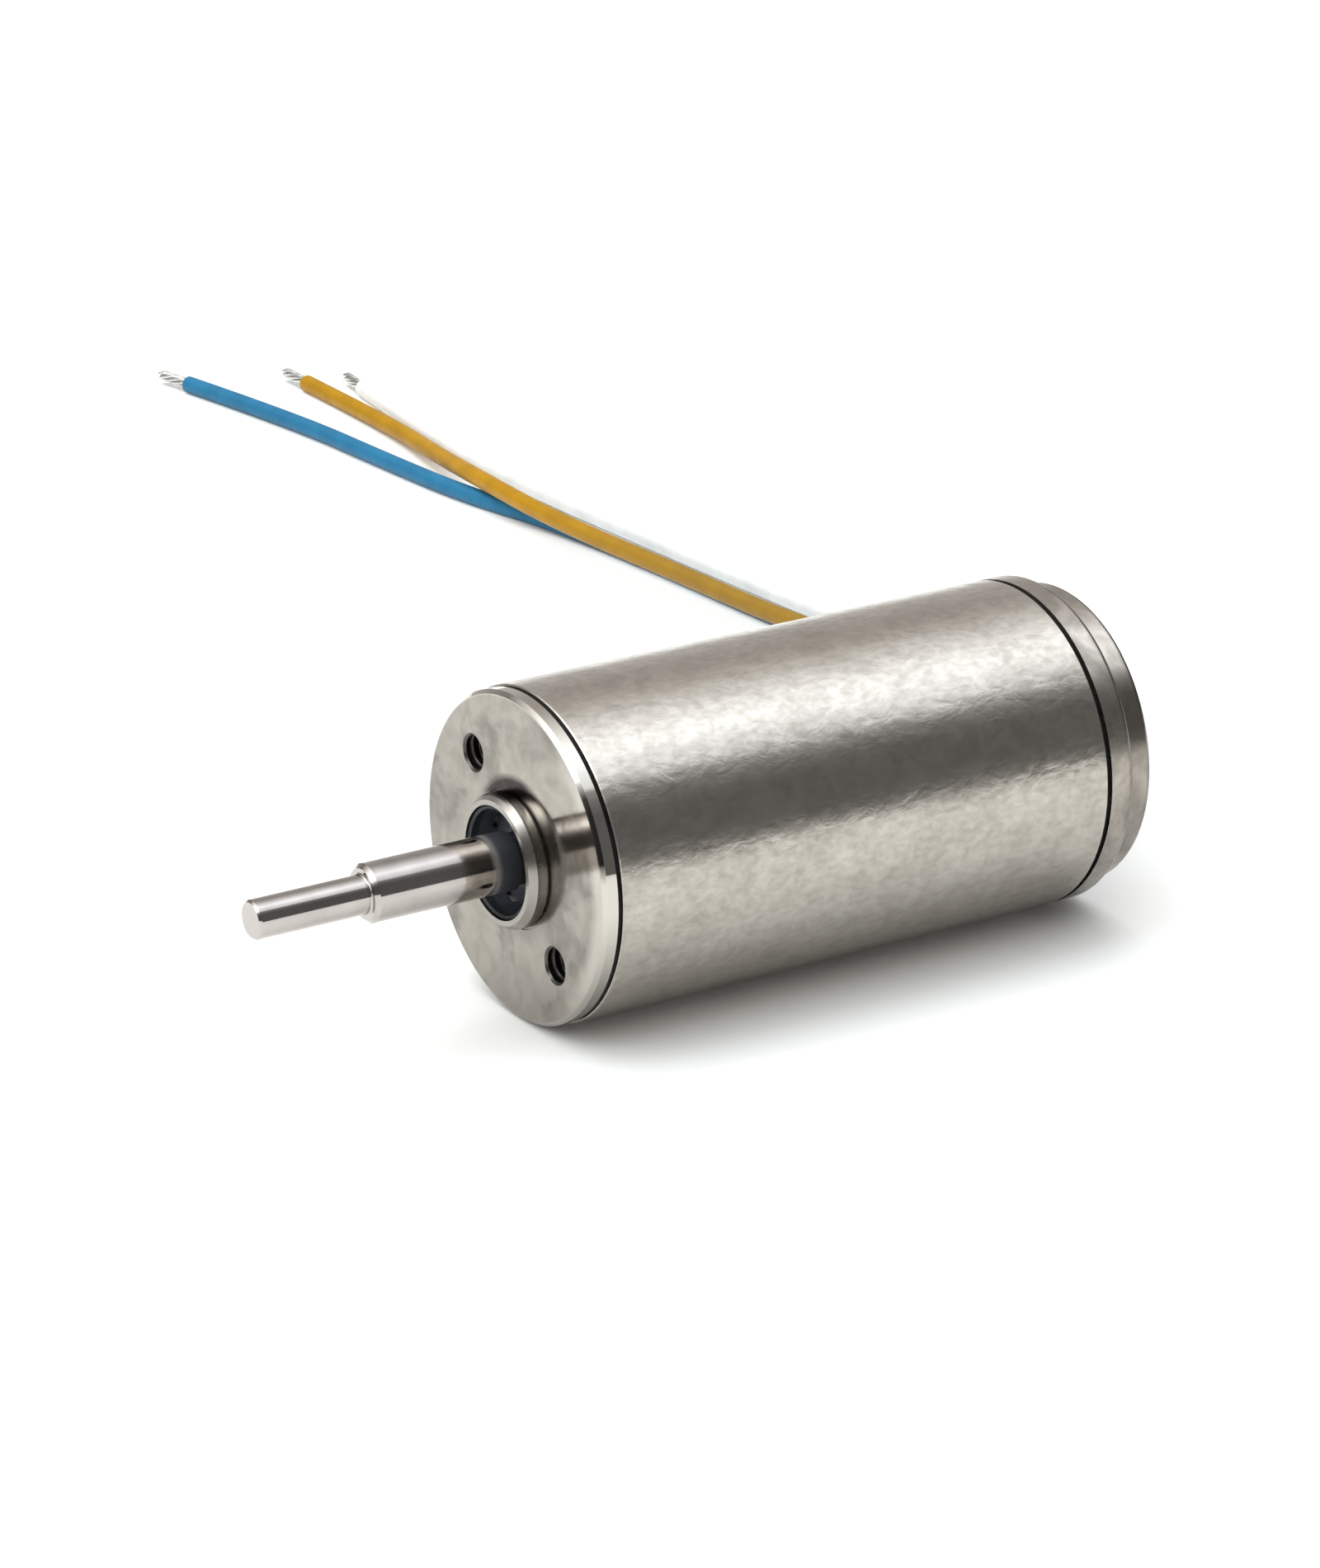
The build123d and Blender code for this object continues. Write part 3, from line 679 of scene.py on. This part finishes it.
# Leads. Each route starts inside the grommet, comes out of the rear cap, goes round towards -X
# and lies along the table; the yellow lead passes over the blue one in a long low hump.
LEAD_DIAMETER = 0.0011
ROUTES = {
    "yellow": [
        (-0.00558, 0.0316, 0.0016),
        (-0.00558, 0.0358, 0.0016),
        (-0.0082, 0.0393, 0.0008),
        (-0.0134, 0.0409, -0.0013),
        (-0.0200, 0.0414, -0.0038),
        (-0.0280, 0.0413, -0.0057),
        (-0.0370, 0.0409, -0.00665),
        (-0.0475, 0.0401, -0.00665),
        (-0.0600, 0.0390, -0.00665),
        (-0.0700, 0.0393, -0.00665),
        (-0.0775, 0.0408, -0.0075),
        (-0.0860, 0.0421, -0.00795),
        (-0.0970, 0.0420, -0.00795),
    ],
    "white": [
        (-0.0058, 0.0316, 0.0),
        (-0.0058, 0.0374, 0.0),
        (-0.0083, 0.0422, -0.0009),
        (-0.0138, 0.0451, -0.0029),
        (-0.0210, 0.0461, -0.0052),
        (-0.0295, 0.0461, -0.0072),
        (-0.0385, 0.0456, -0.00795),
        (-0.0480, 0.0447, -0.00795),
        (-0.0580, 0.0439, -0.00795),
        (-0.0675, 0.0432, -0.00795),
        (-0.0760, 0.0429, -0.00795),
        (-0.0845, 0.0434, -0.00795),
        (-0.0940, 0.0446, -0.00795),
    ],
    "blue": [
        (-0.00558, 0.0316, -0.0016),
        (-0.00558, 0.0368, -0.0016),
        (-0.0082, 0.0412, -0.0034),
        (-0.0136, 0.0439, -0.0055),
        (-0.0215, 0.0449, -0.0073),
        (-0.0310, 0.0443, -0.00795),
        (-0.0410, 0.0428, -0.00795),
        (-0.0520, 0.0421, -0.00795),
        (-0.0630, 0.0409, -0.00795),
        (-0.0710, 0.0389, -0.00795),
        (-0.0795, 0.0381, -0.00795),
        (-0.0900, 0.0373, -0.00795),
        (-0.1010, 0.0352, -0.00795),
    ],
}
STRIPPED_LENGTH = 0.003
STRAND_R = 0.00012
STRAND_COUNT = 7
STRAND_STEPS = 24
STRAND_TWIST = 3.6          # radians from the insulation to the strands' ends
STRAND_SIDES = 10


def lead_curve(name, route):
    """Round wire along a route of control points."""
    curve = bpy.data.curves.new(name, "CURVE")
    curve.dimensions = "3D"
    curve.bevel_depth = LEAD_DIAMETER / 2
    curve.bevel_resolution = 7
    curve.resolution_u = 14
    curve.use_fill_caps = True
    spline = curve.splines.new("NURBS")
    spline.points.add(len(route) - 1)
    for point, place in zip(spline.points, route):
        point.co = (*place, 1)
    spline.order_u = 3
    spline.use_endpoint_u = True
    return bpy.data.objects.new(name, curve)


def strands(name, route):
    """Seven tinned strands, twisted together, beyond the end of a lead's insulation."""
    start = Vector(route[-1])
    along = (start - Vector(route[-2])).normalized()
    side = along.cross((0, 0, 1)).normalized()
    up = side.cross(along)
    points, faces = [], []
    for strand in range(STRAND_COUNT):
        centre_r = 2 * STRAND_R if strand else 0.0
        length = STRIPPED_LENGTH * (1 - 0.012 * (strand * 3 % STRAND_COUNT))
        sections = []
        for i in range(STRAND_STEPS + 1):
            share = i / STRAND_STEPS
            turn = tau * strand / (STRAND_COUNT - 1) + share * STRAND_TWIST
            centre = start + along * (share * length - 0.0002 * (1 - share))
            centre += (side * cos(turn) + up * sin(turn)) * centre_r
            r = STRAND_R * (0.55 if i == STRAND_STEPS else 1.0)
            angles = [tau * k / STRAND_SIDES for k in range(STRAND_SIDES)]
            sections.append([centre + (side * cos(a) + up * sin(a)) * r for a in angles])
        add_skin(points, faces, sections)
    return mesh_piece(name, points, faces)


for color, route in ROUTES.items():
    tip = strands(f"{color}_strands", route)
    place_piece(tip, "tinned_copper", "motor_body", f"{color}_lead_tip")
    wire = lead_curve(f"{color}_wire", route)
    place_piece(wire, f"{color}_insulation", "motor_body", f"{color}_lead")

# ---- table top -------------------------------------------------------------------------

TABLE_REACH = 4.0
table_mesh = bpy.data.meshes.new("table_top")
CORNER_SIGNS = ((-1, -1), (1, -1), (1, 1), (-1, 1))
corners = [(TABLE_REACH * x, TABLE_REACH * y, FLOOR_Z) for x, y in CORNER_SIGNS]
table_mesh.from_pydata(corners, [], [(0, 1, 2, 3)])
table_top = bpy.data.objects.new("table_top", table_mesh)
scene.collection.objects.link(table_top)
white = Paint("table_white", (0.9, 0.895, 0.865), 0.0, 0.6)
white.shader.inputs["Specular IOR Level"].default_value = 0.2
white.color(white.mix(white.noise(0.02), (0.905, 0.900, 0.870), (0.895, 0.890, 0.860)))
# The table top glows faintly: painted light that lifts the shadows.
white.shader.inputs["Emission Color"].default_value = (1.0, 0.99, 0.96, 1)
white.shader.inputs["Emission Strength"].default_value = 0.03
table_mesh.materials.append(white.material)
